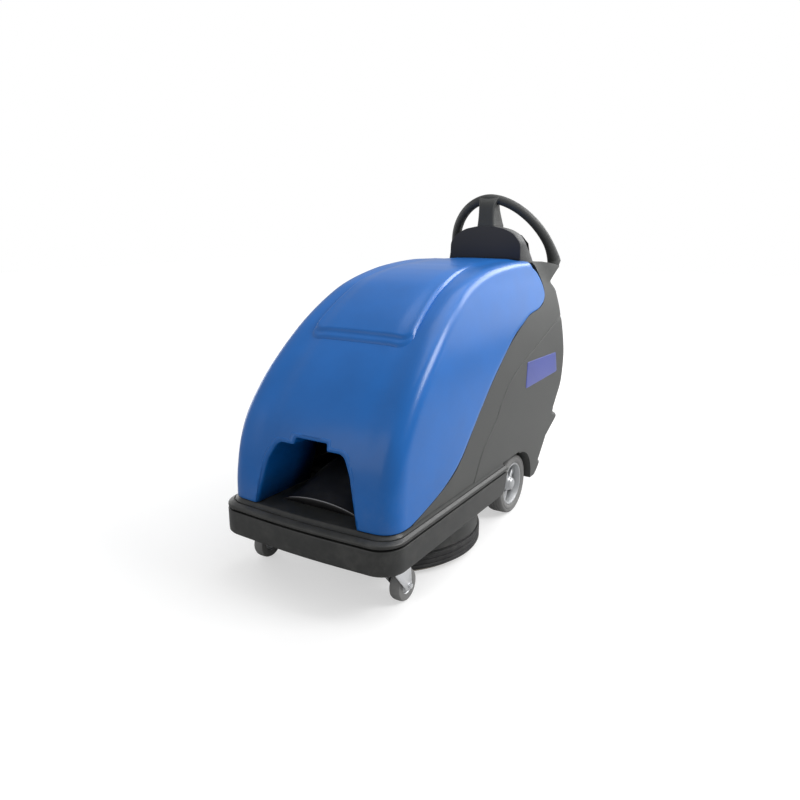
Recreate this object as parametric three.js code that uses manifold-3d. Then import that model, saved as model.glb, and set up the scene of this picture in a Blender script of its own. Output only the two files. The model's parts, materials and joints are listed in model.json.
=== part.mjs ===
// High speed floor burnisher, battery powered, walk behind.
// Millimetres, +Z up. The machine drives towards -Y; the operator stands on the +Y side.
// Inside the machine group, y = 0 is the front of the deck and z = 0 is the floor.
import * as THREE from 'three';
import { mergeVertices } from 'three/addons/utils/BufferGeometryUtils.js';
import Module from 'manifold-3d';

const wasm = await Module();
wasm.setup();

// ---- Driving dimensions ----
const machineMidY = 648.7;
const gap = 0.3;
const seamGap = 1;

const deck = { halfWidth: 285, front: -8, rear: 770, cornerRadius: 68, bottom: 122, rim: 205, top: 219, bow: 15 };
const groove = { low: 190, high: 197, depth: 5 };
const foot = { halfWidth: 268, front: 27, rear: 1060, cornerRadius: 62, bow: 8 };
const hoodWall = 5;
const bodyWall = 6;
const shelf = { front: 1069, top: 822 };
const waist = { y: 1190, z: 750 };
const hinge = { y: 1064.5, z: 820, barrelRadius: 4, pinRadius: 2.2, boreRadius: 2.6, halfLength: 60 };
const recess = { baseHalf: 160, shoulderHalf: 118, shoulderZ: 360, topZ: 393, notchHalf: 54, notchZ: 412, depth: 290 };
const wheel = { x: 222, y: 820, radius: 100, width: 60, rimRadius: 72, archRadius: 113 };
const caster = { x: 234, y: 108, trail: 32, radius: 44, width: 32 };
const head = { y: 450, radius: 270, skirtRadius: 275, padRadius: 254, motorRadius: 78 };
const battery = { length: 244, width: 190, height: 275, gap: 0.8, bottom: 229.6, front: 537 };
const hoop = { halfWidth: 198, rise: 259, tube: 14, lean: THREE.MathUtils.degToRad(34), baseY: 1255, baseZ: 822.4 };
const column = { halfWidth: 32, front: 1079.8 };
const panel = { y: 1192.5, z: 883, lean: THREE.MathUtils.degToRad(18.5), thickness: 3 };

// ---- Outlines: closed or open lists of [u, v] ----
const curve = (points, steps) => new THREE.SplineCurve(points.map(([u, v]) => new THREE.Vector2(u, v)))
  .getPoints(steps)
  .map((p) => [p.x, p.y]);

// Corners are [u, v] or [u, v, radius]; a radius turns the corner into an arc.
function rounded(corners, steps = 6) {
  const outline = [];
  corners.forEach(([u, v, radius = 0], i) => {
    if (!radius) {
      outline.push([u, v]);
      return;
    }
    const corner = new THREE.Vector2(u, v);
    const before = new THREE.Vector2(...corners.at(i - 1)).sub(corner).normalize();
    const after = new THREE.Vector2(...corners[(i + 1) % corners.length]).sub(corner).normalize();
    const half = Math.acos(THREE.MathUtils.clamp(before.dot(after), -1, 1)) / 2;
    const centre = before.clone().add(after).normalize().multiplyScalar(radius / Math.sin(half)).add(corner);
    const start = before.multiplyScalar(radius / Math.tan(half)).add(corner).sub(centre);
    const end = after.multiplyScalar(radius / Math.tan(half)).add(corner).sub(centre);
    const sweep = Math.atan2(start.cross(end), start.dot(end));
    for (let k = 0; k <= steps; k += 1) {
      const p = start.clone().rotateAround(new THREE.Vector2(), (sweep * k) / steps).add(centre);
      outline.push([p.x, p.y]);
    }
  });
  return outline;
}

// Moves a line sideways by distance, to its right when walked in order.
function offset(points, distance, closed = false) {
  const last = points.length - 1;
  return points.map((point, i) => {
    const previous = points[i === 0 ? (closed ? last : 0) : i - 1];
    const next = points[i === last ? (closed ? 0 : last) : i + 1];
    const into = new THREE.Vector2(point[0] - previous[0], point[1] - previous[1]).normalize();
    const out = new THREE.Vector2(next[0] - point[0], next[1] - point[1]).normalize();
    const along = into.clone().add(out).normalize();
    const reach = distance / Math.max(0.5, Math.abs(along.dot(out.lengthSq() ? out : into)));
    return [point[0] + along.y * reach, point[1] - along.x * reach];
  });
}

// Both halves of a symmetric outline, from its +u half listed in order.
const mirrored = (half) => [...half, ...half.map(([u, v]) => [-u, v]).reverse()];

// ---- Solids ----
function toSolid(geometry) {
  geometry.deleteAttribute('normal');
  geometry.deleteAttribute('uv');
  const merged = mergeVertices(geometry, 1e-4);
  const positions = merged.attributes.position;
  const index = merged.index.array;
  const triangles = [];
  let volume = 0;
  const [a, b, c] = [new THREE.Vector3(), new THREE.Vector3(), new THREE.Vector3()];
  for (let i = 0; i < index.length; i += 3) {
    const [i0, i1, i2] = [index[i], index[i + 1], index[i + 2]];
    if (i0 !== i1 && i1 !== i2 && i2 !== i0) {
      triangles.push([i0, i1, i2]);
      a.fromBufferAttribute(positions, i0);
      b.fromBufferAttribute(positions, i1);
      c.fromBufferAttribute(positions, i2);
      volume += a.dot(b.cross(c));
    }
  }
  const ordered = volume < 0 ? triangles.map(([i0, i1, i2]) => [i0, i2, i1]) : triangles;
  return new wasm.Manifold(new wasm.Mesh({
    numProp: 3,
    vertProperties: new Float32Array(positions.array),
    triVerts: new Uint32Array(ordered.flat()),
  }));
}

function toGeometry(solid) {
  const mesh = solid.getMesh();
  const geometry = new THREE.BufferGeometry();
  geometry.setAttribute('position', new THREE.BufferAttribute(new Float32Array(mesh.vertProperties), 3));
  geometry.setIndex(new THREE.BufferAttribute(new Uint32Array(mesh.triVerts), 1));
  geometry.computeVertexNormals();
  return geometry;
}

const X = new THREE.Vector3(1, 0, 0);
const Y = new THREE.Vector3(0, 1, 0);
const Z = new THREE.Vector3(0, 0, 1);
const extrusionFrames = {
  x: new THREE.Matrix4().makeBasis(Y, Z, X),
  y: new THREE.Matrix4().makeBasis(X, Z, Y.clone().negate()),
  z: new THREE.Matrix4(),
};

// A prism along one axis. Its outline is [y, z] for x, [x, z] for y and [x, y] for z.
// It can then be turned about the vertical by an angle in radians.
function prism(axis, outline, from, to, turn = 0) {
  const shape = new THREE.Shape(outline.map(([u, v]) => new THREE.Vector2(u, v)));
  const geometry = new THREE.ExtrudeGeometry(shape, { depth: to - from, bevelEnabled: false });
  geometry.translate(0, 0, axis === 'y' ? -to : from);
  geometry.applyMatrix4(extrusionFrames[axis]);
  geometry.rotateZ(turn);
  return toSolid(geometry);
}

function box([x0, x1], [y0, y1], [z0, z1]) {
  const geometry = new THREE.BoxGeometry(x1 - x0, y1 - y0, z1 - z0);
  geometry.translate((x0 + x1) / 2, (y0 + y1) / 2, (z0 + z1) / 2);
  return toSolid(geometry);
}

// A turned piece about Z, or about X or Y when asked; profile is [radius, height], closed on itself.
function turned(profile, segments = 24, axis = 'z', centre = [0, 0, 0]) {
  const points = [...profile, profile[0]].map(([r, h]) => new THREE.Vector2(r, h));
  const geometry = new THREE.LatheGeometry(points, segments);
  if (axis === 'z') geometry.rotateX(Math.PI / 2);
  if (axis === 'x') geometry.rotateZ(-Math.PI / 2);
  geometry.translate(...centre);
  return toSolid(geometry);
}

const disc = (radius, from, to) => [[0, from], [radius, from], [radius, to], [0, to]];
const ring = (inner, outer, from, to) => [[inner, from], [outer, from], [outer, to], [inner, to]];
const union = (...solids) => solids.reduce((sum, solid) => sum.add(solid));
const cut = (solid, ...tools) => tools.reduce((rest, tool) => rest.subtract(tool), solid);
const common = (...solids) => solids.reduce((sum, solid) => sum.intersect(solid));

// ---- Finishes ----
const finishes = {
  hoodBlue: [0x2d69b4, 0.35, 0],
  bodyGrey: [0x6b6e6c, 0.6, 0],
  deckGrey: [0x4a4a48, 0.6, 0],
  black: [0x1c1c1e, 0.7, 0],
  consoleBlack: [0x22242e, 0.5, 0],
  grip: [0x2a2a2c, 0.8, 0],
  tyreGrey: [0x8a8a88, 0.8, 0],
  silver: [0xb8babc, 0.4, 0.8],
  zinc: [0xd0d2d4, 0.35, 1],
  steel: [0x55585a, 0.5, 0.8],
  padRed: [0xc9b79c, 1, 0],
  stopRed: [0xb02018, 0.4, 0],
  display: [0x0c1014, 0.2, 0],
  plateBlue: [0x5a6fc0, 0.5, 0],
};

function piece(parent, name, solid, finish, position = [0, 0, 0]) {
  const [color, roughness, metalness] = finishes[finish];
  const mesh = new THREE.Mesh(toGeometry(solid), new THREE.MeshStandardMaterial({ color, roughness, metalness }));
  mesh.name = name;
  mesh.position.set(...position);
  parent.add(mesh);
}

const burnisher = new THREE.Group();
const machine = new THREE.Group();
machine.position.y = -machineMidY;
burnisher.add(machine);

// ---- Shared outer form of hood and body ----
const crownLine = curve(
  [[27, 205], [34, 300], [62, 395], [112, 475], [198, 565], [330, 674], [457, 750], [560, 790], [745, 821],
    [900, 829], [foot.rear, 829]],
  26,
);
const sideHalf = [[266, 60], [270, 205], [268, 300], [266, 400], [257, 560], [251, 620], [243, 678], [230, 740]];
const hoodSection = [...sideHalf, [216, 785], [206, 831]];
const bodySection = [...sideHalf, [228, 756], [230, 800], [230, 840]];
const seamLine = curve(
  [[120, 220], [218, 246], [329, 277], [407, 326], [516, 430], [661, 537], [790, 612], [920, 660], [1010, 672],
    [1048, 688], [1064, 725], [1062, 775], [foot.rear, 836]],
  30,
);

const frontOutline = ({ halfWidth, front, rear, cornerRadius, bow }) => rounded([
  [-halfWidth, front + bow, cornerRadius],
  [0, front, 2400],
  [halfWidth, front + bow, cornerRadius],
  [halfWidth, rear],
  [-halfWidth, rear],
]);

// The hood's outer form, pulled in by wall and run out past its rear edge when hollowing.
function hoodForm(wall) {
  const crown = offset(crownLine, wall);
  const rear = foot.rear + wall * 6;
  const side = [[crown[0][0], 200], ...crown, [rear, crown.at(-1)[1]], [rear, 200]];
  const section = mirrored(offset(hoodSection, -wall));
  const plan = frontOutline({ ...foot, halfWidth: foot.halfWidth + 4 - wall, front: foot.front + wall, rear });
  return common(prism('x', side, -300, 300), prism('y', section, 0, 1200), prism('z', plan, 150, 900));
}

// ---- Deck ----
const deckForm = (inset) => frontOutline({
  ...deck,
  halfWidth: deck.halfWidth - inset,
  front: deck.front + inset,
  cornerRadius: deck.cornerRadius - inset,
});
const archCutter = turned(disc(wheel.archRadius, -300, 300), 40, 'x', [0, wheel.y, wheel.radius]);
const deckSolid = cut(
  union(
    prism('z', deckForm(0), deck.bottom, groove.low),
    prism('z', deckForm(groove.depth), groove.low - 1, groove.high + 1),
    prism('z', deckForm(0), groove.high, deck.rim),
    prism('z', frontOutline({ ...foot, halfWidth: 273, front: 22, rear: deck.rear }), deck.rim - 1, deck.top),
  ),
  turned(disc(281, 100, 192), 56, 'z', [0, head.y, 0]),
  box([-172, 172], [32, 250], [100, 208]),
  turned(disc(90, 100, 230), 24, 'z', [0, head.y, 0]),
  turned(disc(15, 100, 230), 12, 'z', [150, head.y, 0]),
  box([-262, 262], [690, 800], [100, 208]),
  archCutter,
);
piece(machine, 'deck', deckSolid, 'deckGrey');

// ---- Rear body with its side wings and the shelf under the console ----
const rearEdge = [
  [1030, 62], [1040, 84], [1074, 120], [1062, 132], [1130, 210], [1232, 250], [1230, 262], [1182, 277],
  ...curve([[1182, 277], [1262, 376], [1291, 452], [1296, 510], [1280, 604], [1262, 679], [1243, 718],
    [waist.y, waist.z]], 14).slice(1),
  [1268, 810], [1264, 832], [1232, 832], [1222, shelf.top],
];
const breakerCentre = [-120, 1290, 490];
const bodyCorner = { halfWidth: 268, radius: 82 };
const bodySide = [...rearEdge, [shelf.front, shelf.top], [100, shelf.top], [100, 62]];
// Each rear corner is rounded at every height by facets that follow the rear edge's outline.
function bodyForm(wall) {
  const side = offset(bodySide, -wall, true);
  const centreX = bodyCorner.halfWidth - bodyCorner.radius;
  const radius = bodyCorner.radius - wall;
  const facets = [22.5, 45, 67.5].flatMap((degrees) => {
    const turn = THREE.MathUtils.degToRad(degrees);
    const reach = (y) => centreX * Math.sin(turn) + (y - radius) * Math.cos(turn) + radius;
    const outline = side.map(([y, z]) => [y < 200 ? -2000 : reach(y), z]);
    return [prism('x', outline, -1500, 1500, turn), prism('x', outline, -1500, 1500, -turn)];
  });
  const section = mirrored(offset(bodySection, -wall));
  return common(prism('x', side, -300, 300), prism('y', section, 0, 1400), ...facets);
}
const aboveSeam = (distance) => [...offset(seamLine, distance), [foot.rear, 900], [0, 900], [0, 220.5], [60, 220.5]];
const bodySolid = cut(
  bodyForm(0),
  bodyForm(bodyWall),
  prism('x', aboveSeam(seamGap), -300, 300),
  box([-300, 300], [0, shelf.front], [shelf.top - 12, 900]),
  box([-256, 256], [0, 1026], [0, 90]),
  box([-300, 300], [0, deck.rear], [0, deck.top + gap]),
  box([-300, 300], [0, 180], [0, 400]),
  box([-256, 256], [0, 200], [0, 900]),
  archCutter,
  turned(disc(8.5, -20, 20), 16, 'y', breakerCentre),
);
piece(machine, 'rear_body', bodySolid, 'bodyGrey');

// ---- Hood: a moulded shell with the front recess and the raised panel ----
const recessOutline = (grow) => rounded(mirrored([
  [recess.baseHalf + grow, 190],
  [recess.shoulderHalf + grow, recess.shoulderZ, 30],
  [recess.shoulderHalf - 12, recess.topZ + grow, 12],
]));
const notchOutline = mirrored([[recess.notchHalf, 300], [recess.notchHalf, recess.notchZ]]);
const panelPlan = rounded(mirrored([[168, 290, 14], [150, 450, 200], [112, 735, 30]]));
const panelCrown = curve([[290, 654], [457, 762], [560, 801], [745, 822]], 8);
const raisedPanel = common(
  prism('x', [...panelCrown, [745, 640], [290, 600]], -200, 200),
  prism('z', panelPlan, 500, 900),
);
const hoodSolid = common(
  cut(
    union(
      cut(union(hoodForm(0), raisedPanel), hoodForm(hoodWall)),
      common(prism('y', recessOutline(hoodWall), 20, recess.depth), hoodForm(0)),
    ),
    prism('y', recessOutline(0), 0, recess.depth + 1),
    prism('y', notchOutline, 0, 120),
  ),
  prism('x', aboveSeam(-seamGap), -300, 300),
);
piece(machine, 'hood', hoodSolid, 'hoodBlue');

// ---- Hood hinge ----
const hingeCentre = [0, hinge.y, hinge.z];
const hingeBase = union(
  turned(disc(hinge.barrelRadius, -hinge.halfLength, hinge.halfLength), 16, 'x', hingeCentre),
  turned(disc(hinge.pinRadius, -80, 80), 16, 'x', hingeCentre),
  box([-hinge.halfLength, hinge.halfLength], [hinge.y - 2, hinge.y + 2], [812, hinge.z]),
  box([-hinge.halfLength, hinge.halfLength], [hinge.y - 2, 1110], [812, 815.6]),
);
piece(machine, 'hinge_base', hingeBase, 'steel');
const leafHalf = 84;
const hingeLeaf = cut(
  union(
    turned(disc(hinge.barrelRadius, -leafHalf, leafHalf), 16, 'x', hingeCentre),
    box([-leafHalf, leafHalf], [1005, hinge.y], [820.6, 823.4]),
  ),
  box([-hinge.halfLength - 0.6, hinge.halfLength + 0.6], [hinge.y - 6, hinge.y + 6], [800, 830]),
  turned(disc(hinge.boreRadius, -90, 90), 16, 'x', hingeCentre),
);
piece(machine, 'hinge_leaf', hingeLeaf, 'steel');

// ---- Console, column and hoop handle ----
const domeHalf = [[138, 822.3], [133, 878], [113, 906], [78, 926], [33, 941]];
const domeOutline = mirrored(domeHalf);
const consoleSide = [[1079.8, 800], [1079.8, 960], [1166, 960], [1212, 822.3], [1212, 800]];
const consoleInside = [[1083.8, 790], [1083.8, 950], [1160, 950], [1207, 822.3], [1207, 790]];
const consoleSolid = cut(
  common(prism('y', domeOutline, 1079.8, 1220), prism('x', consoleSide, -200, 200)),
  common(
    prism('y', mirrored([[134, 800], [129, 877], [110, 903], [76, 922], [32, 937]]), 1083.8, 1220),
    prism('x', consoleInside, -200, 200),
  ),
);
piece(machine, 'console_housing', consoleSolid, 'bodyGrey');
const coverOutline = rounded(mirrored([
  [138, 822.3], [134, 878, 14], [114, 907, 30], [79, 927, 60], [column.halfWidth, 943, 14],
  [column.halfWidth, 1046, 6],
]), 3);
piece(machine, 'console_cover', prism('y', coverOutline, 1073.5, 1079.5), 'consoleBlack');

// The handle's centre line: a flat arch, wider than a half circle at its foot, leaning towards the front.
class HoopLine extends THREE.Curve {
  getPoint(t, target = new THREE.Vector3()) {
    const angle = Math.PI * (1 - t);
    const roundness = 2 / 1.85;
    const across = hoop.halfWidth * Math.sign(Math.cos(angle)) * Math.abs(Math.cos(angle)) ** roundness;
    const up = hoop.rise * Math.abs(Math.sin(angle)) ** roundness;
    return target.set(across, hoop.baseY - up * Math.sin(hoop.lean), hoop.baseZ + up * Math.cos(hoop.lean));
  }
}
function hoopTube(radius) {
  const section = new THREE.Shape().absarc(0, 0, radius, 0, Math.PI * 2);
  return toSolid(new THREE.ExtrudeGeometry(section, { steps: 44, curveSegments: 5, extrudePath: new HoopLine() }));
}
const aboveShelf = box([-300, 300], [1000, 1300], [hoop.baseZ + 10, 1100]);
piece(machine, 'handle_hoop', common(hoopTube(hoop.tube), aboveShelf), 'grip');
const columnSide = [
  [column.front, 941.4], [1132, 941.4], [1106, 990], [1128, 1018], [1130, 1050, 8], [column.front, 1053, 8],
];
const columnSolid = cut(
  prism('x', rounded(columnSide, 4), -column.halfWidth, column.halfWidth),
  hoopTube(hoop.tube + gap),
);
piece(machine, 'handle_column', columnSolid, 'bodyGrey');
for (const [side, name] of [[-1, 'left'], [1, 'right']]) {
  const centre = [side * 196, 1246, 0];
  const socket = cut(
    turned(ring(1, 26, 832.3, 840), 20, 'z', centre),
    hoopTube(hoop.tube + gap),
  );
  piece(machine, `hoop_socket_${name}`, socket.decompose().sort((a, b) => b.volume() - a.volume())[0], 'bodyGrey');
}

// ---- Steel frame, batteries and electrics ----
const frameSolid = cut(
  union(
    box([-250, 250], [300, 1095], [deck.top + gap, 226]),
    box([-225, 225], [1090, 1118], [deck.top + gap, 226]),
    box([-225, 225], [1112, 1118], [220, 560]),
    box([-154, -146], [772, 1000], [131, 224]),
    box([146, 154], [772, 1000], [131, 224]),
    box([-154, 154], [940, 948], [180, 224]),
  ),
  turned(disc(90, 200, 230), 24, 'z', [0, head.y, 0]),
  turned(disc(15, 200, 230), 12, 'z', [150, head.y, 0]),
);
piece(machine, 'main_frame', frameSolid, 'steel');
const traySolid = cut(
  box([-250, 250], [533.5, 1111.7], [226.3, 262]),
  box([-247, 247], [536.5, 1109.4], [229.3, 270]),
);
piece(machine, 'battery_tray', traySolid, 'black');
const batterySolid = union(
  box([-battery.length / 2, battery.length / 2], [-battery.width / 2, battery.width / 2], [0, battery.height - 14]),
  turned(disc(9, battery.height - 15, battery.height), 12, 'z', [-95, 0, 0]),
  turned(disc(9, battery.height - 15, battery.height), 12, 'z', [95, 0, 0]),
);
for (let row = 0; row < 3; row += 1) {
  for (const side of [-1, 1]) {
    const y = battery.front + battery.width / 2 + row * (battery.width + battery.gap);
    const x = side * (battery.length / 2 + 1.5);
    piece(machine, `battery_${row * 2 + (side > 0 ? 2 : 1)}`, batterySolid, 'black', [x, y, battery.bottom]);
  }
}
piece(machine, 'controller_box', box([-110, 110], [1118.3, 1166], [320, 520]), 'silver');
const innerCoverSide = (wall) => [
  [97 + wall, 200], [97 + wall, 236 - wall], [150, 262 - wall], [240, 300 - wall], [280 - wall, 305 - wall],
  [280 - wall, 200],
];
const innerCoverArch = (wall) => mirrored([[125 - wall, 200], ...curve([[125 - wall, 219], [100, 268 - wall],
  [50, 300 - wall], [0, 306 - wall]], 8)]).filter(([u, v], i, all) => !(u === 0 && i && all[i - 1][0] === 0));
const innerCover = cut(
  common(prism('x', innerCoverSide(0), -150, 150), prism('y', innerCoverArch(0), 90, 300)),
  common(prism('x', innerCoverSide(4), -150, 150), prism('y', innerCoverArch(4), 90, 300)),
  box([-200, 200], [0, 400], [150, deck.top + gap]),
);
piece(machine, 'inner_front_cover', innerCover, 'black');

// ---- Drive: transaxle, motor and wheels ----
const halfTransaxle = [[12.5, 248], [12.5, 182], [30, 182], [30, 64], [72, 50]];
const transaxleProfile = [[0, 248], ...halfTransaxle, ...halfTransaxle.map(([r, x]) => [r, -x]).reverse(), [0, -248]];
piece(machine, 'transaxle', turned(transaxleProfile, 24, 'x'), 'steel', [0, wheel.y, wheel.radius]);
const driveMotor = turned([[0, 0], [50, 0], [50, 120], [40, 130], [0, 130]], 24, 'y');
piece(machine, 'drive_motor', driveMotor, 'black', [0, wheel.y + 73, wheel.radius + 10]);
const halfTyre = wheel.width / 2;
const tyreProfile = [
  [wheel.rimRadius, -halfTyre + 3], [78, -halfTyre], [92, -halfTyre], [wheel.radius, -halfTyre + 9],
  [wheel.radius, halfTyre - 9], [92, halfTyre], [78, halfTyre], [wheel.rimRadius, halfTyre - 3],
];
const hubWindows = Array.from({ length: 5 }, (_, i) => {
  const angle = (i * Math.PI * 2) / 5;
  return turned(disc(13, -40, 40), 8, 'x', [0, Math.sin(angle) * 43, Math.cos(angle) * 43]);
});
const hubRim = wheel.rimRadius - gap;
const hubProfile = [
  [13, -24], [26, -24], [28, -8], [60, -8], [62, -26], [hubRim, -26], [hubRim, 26], [62, 26], [58, 10], [24, 10],
  [22, 20], [13, 20],
];
const hubSolid = cut(turned(hubProfile, 32, 'x'), ...hubWindows);
for (const [side, name] of [[-1, 'left'], [1, 'right']]) {
  const centre = [side * wheel.x, wheel.y, wheel.radius];
  const facing = side > 0 ? hubSolid : hubSolid.mirror([1, 0, 0]);
  piece(machine, `drive_tyre_${name}`, turned(tyreProfile, 32, 'x'), 'tyreGrey', centre);
  piece(machine, `drive_hub_${name}`, facing, 'silver', centre);
  const cap = turned([[0, 26.6], [13.2, 26.6], [13.2, 20.4], [20, 20.4], [17, 30], [0, 31]], 20, 'x');
  piece(machine, `wheel_cap_${name}`, side > 0 ? cap : cap.mirror([1, 0, 0]), 'silver', centre);
}

// ---- Front swivel casters ----
const casterPlate = union(
  box([-38, 38], [-38, 38], [114.3, deck.bottom - gap]),
  turned(disc(24, 108.3, 115), 20),
);
const forkOuter = caster.width / 2 + 6.5;
const forkLeg = rounded([
  [-34, 107.9], [36, 107.9], [caster.trail + 13, caster.radius - 12, 12], [caster.trail - 11, caster.radius - 12, 11],
  [-34, 97],
]);
const axleCentre = [0, caster.trail, caster.radius];
const forkSolid = cut(
  union(
    prism('x', forkLeg, -forkOuter, forkOuter),
    turned(disc(5, -forkOuter - 2, forkOuter + 2), 12, 'x', axleCentre),
  ),
  cut(
    box([-forkOuter + 3, forkOuter - 3], [-60, 100], [0, 100]),
    turned(disc(5, -40, 40), 12, 'x', axleCentre),
  ),
);
const half = caster.width / 2;
const casterWheel = turned([
  [5.6, -half - 2], [14, -half - 2], [14, -half], [38, -half], [caster.radius, -8],
  [caster.radius, 8], [38, half], [14, half], [14, half + 2], [5.6, half + 2],
], 28, 'x');
for (const [side, name] of [[-1, 'left'], [1, 'right']]) {
  const x = side * caster.x;
  piece(machine, `caster_plate_${name}`, casterPlate, 'zinc', [x, caster.y, 0]);
  piece(machine, `caster_fork_${name}`, forkSolid, 'zinc', [x, caster.y, 0]);
  piece(machine, `caster_wheel_${name}`, casterWheel, 'tyreGrey', [x, caster.y + caster.trail, caster.radius]);
}

// ---- Burnishing head ----
const shroudProfile = [
  [262, 60.3], [head.radius, 60.3], [head.radius, 100], [256, 113], [40, 113], [40, 105], [250, 105], [262, 94],
];
const skirtProfile = [
  [264, 18], [head.skirtRadius, 18], [head.skirtRadius, 28], [272, 30], [head.skirtRadius, 32],
  [head.skirtRadius, 44], [272, 46], [head.skirtRadius, 48], [head.skirtRadius, 60], [264, 60],
];
const motorProfile = [
  [0, 113.3], [100, 113.3], [100, 124], [82, 128], [head.motorRadius, 140], [head.motorRadius, 424], [0, 424],
];
const motorCap = [[0, 424.3], [80, 424.3], [80, 440], [68, 452], [0, 456]];
const driverProfile = [[0, 26.3], [242, 26.3], [242, 34], [60, 40], [38, 58], [12, 58], [12, 112.9], [0, 112.9]];
const headCentre = [0, head.y, 0];
piece(machine, 'head_shroud', turned(shroudProfile, 48), 'deckGrey', headCentre);
piece(machine, 'head_skirt', turned(skirtProfile, 48), 'black', headCentre);
piece(machine, 'pad_motor', turned(motorProfile, 28), 'black', headCentre);
piece(machine, 'pad_motor_cap', turned(motorCap, 28), 'black', headCentre);
piece(machine, 'pad_driver', turned(driverProfile, 32), 'steel', headCentre);
piece(machine, 'burnishing_pad', turned(ring(38, head.padRadius, 1, 26), 48), 'padRed', headCentre);
piece(machine, 'pad_lock', turned([[0, 8], [30, 8], [35, 14], [35, 26], [0, 26]], 24), 'black', headCentre);
piece(machine, 'lift_rod', turned(disc(10, 113.3, 250), 16), 'zinc', [150, head.y, 0]);
piece(machine, 'lift_actuator', cut(
  turned(disc(26, 226.3, 420), 20),
  turned(disc(11, 200, 292), 16),
), 'black', [150, head.y, 0]);

// ---- Operator's panel, in its own tilted frame: +Y up the panel, +Z out towards the operator ----
const panelFrame = new THREE.Group();
panelFrame.position.set(0, panel.y, panel.z);
panelFrame.quaternion.setFromRotationMatrix(new THREE.Matrix4().makeBasis(
  X.clone().negate(),
  new THREE.Vector3(0, -Math.sin(panel.lean), Math.cos(panel.lean)),
  new THREE.Vector3(0, Math.cos(panel.lean), Math.sin(panel.lean)),
));
machine.add(panelFrame);
const panelFace = panel.thickness + 1;
const panelOutline = rounded(mirrored([[122, -60, 8], [118, -4, 20], [96, 26, 30], [30, 50, 60]]), 3);
piece(panelFrame, 'control_panel', prism('z', panelOutline, 1, panelFace), 'black');
const onPanel = (profile, segments = 20) => turned(profile, segments);
piece(panelFrame, 'key_switch', onPanel(disc(11, panelFace + gap, 12)), 'silver', [84, -2, 0]);
const keySolid = union(box([-1.5, 1.5], [-4, 4], [12.3, 20]), box([-2, 2], [-11, 11], [19, 38]));
piece(panelFrame, 'ignition_key', keySolid, 'zinc', [84, -2, 0]);
const knobSolid = union(onPanel([[0, 5], [17, 5], [14, 19], [0, 19]]), box([-1.2, 1.2], [4, 13.5], [5, 20]));
piece(panelFrame, 'speed_knob', knobSolid, 'black', [-84, -2, 0]);
piece(panelFrame, 'battery_gauge', box([-24, 24], [-9, 9], [panelFace + gap, 9]), 'display', [28, 26, 0]);
piece(panelFrame, 'hour_meter', box([-18, 18], [-11, 11], [panelFace + gap, 9]), 'display', [-28, 26, 0]);
piece(panelFrame, 'pad_rocker', prism('x', [[-12, 6], [12, 6], [12, 12], [0, 9.5], [-12, 12]], -8, 8), 'black',
  [40, -2, 0]);
const stopSolid = onPanel([[0, 7], [9, 7], [9, 14], [14, 14], [14, 20], [10, 24], [0, 25]], 16);
piece(panelFrame, 'stop_button', stopSolid, 'stopRed', [-36, -2, 0]);
const driveCentre = [0, -40, 18];
const housingOutline = rounded([[-13, -13.7], [13, -13.7], [13, 4, 8], [-13, 4, 8]], 3);
const driveHousing = union(
  prism('x', housingOutline, -30, 30),
  turned(disc(4, -88, 88), 12, 'x'),
);
piece(panelFrame, 'drive_control', driveHousing, 'black', driveCentre);
const paddleSolid = cut(
  union(turned(disc(8, 31, 92), 16, 'x'), box([31, 92], [-3, 22], [-3, 3])),
  turned(disc(4.4, 20, 89), 12, 'x'),
);
for (const [side, name] of [[1, 'left'], [-1, 'right']]) {
  const facing = side > 0 ? paddleSolid : paddleSolid.mirror([1, 0, 0]);
  piece(panelFrame, `drive_paddle_${name}`, facing, 'grip', driveCentre);
}

// ---- Rear face fittings and plain side plates ----
piece(machine, 'charger_socket', box([90, 150], [1297, 1302], [470, 506]), 'black');
piece(machine, 'breaker_button', turned(disc(7, 0, 10), 16, 'y'), 'stopRed', breakerCentre);
for (const [side, name] of [[-1, 'left'], [1, 'right']]) {
  const low = 265.2 + gap;
  const high = 260.2 + gap;
  const section = [[low, 420], [low + 1.6, 420], [high + 1.6, 508], [high, 508]].map(([x, z]) => [side * x, z]);
  const outline = side > 0 ? section : section.reverse();
  piece(machine, `side_plate_${name}`, prism('y', outline, 870, 1145), 'plateBlue');
}

export default burnisher;
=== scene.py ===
import json
import math

import bmesh
import bpy
import numpy as np
from mathutils import Euler, Matrix, Vector
from mathutils.bvhtree import BVHTree


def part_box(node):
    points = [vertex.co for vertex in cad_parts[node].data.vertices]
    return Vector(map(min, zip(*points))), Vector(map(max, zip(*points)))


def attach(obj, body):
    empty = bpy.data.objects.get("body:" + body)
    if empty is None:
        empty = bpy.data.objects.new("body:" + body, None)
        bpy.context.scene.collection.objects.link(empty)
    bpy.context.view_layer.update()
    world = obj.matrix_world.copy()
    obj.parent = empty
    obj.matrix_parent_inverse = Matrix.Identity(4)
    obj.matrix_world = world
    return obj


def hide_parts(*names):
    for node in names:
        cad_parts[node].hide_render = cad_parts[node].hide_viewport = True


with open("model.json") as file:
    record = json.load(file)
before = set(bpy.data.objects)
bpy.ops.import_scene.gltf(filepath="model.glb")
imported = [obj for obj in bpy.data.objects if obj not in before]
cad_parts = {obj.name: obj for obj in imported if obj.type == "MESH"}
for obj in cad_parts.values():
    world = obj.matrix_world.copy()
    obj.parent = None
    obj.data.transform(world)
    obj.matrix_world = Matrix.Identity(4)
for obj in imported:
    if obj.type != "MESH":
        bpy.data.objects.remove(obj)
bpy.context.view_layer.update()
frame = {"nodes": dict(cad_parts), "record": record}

# ---- Camera, floor and light ----
# A pale seamless floor, an even white surround and six soft boxes: one above, two behind, and one each to the
# right, to the left and in front.
# The camera's distance is counted from the machine's nose, the front of the deck.
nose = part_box("deck")[0].y
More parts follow.
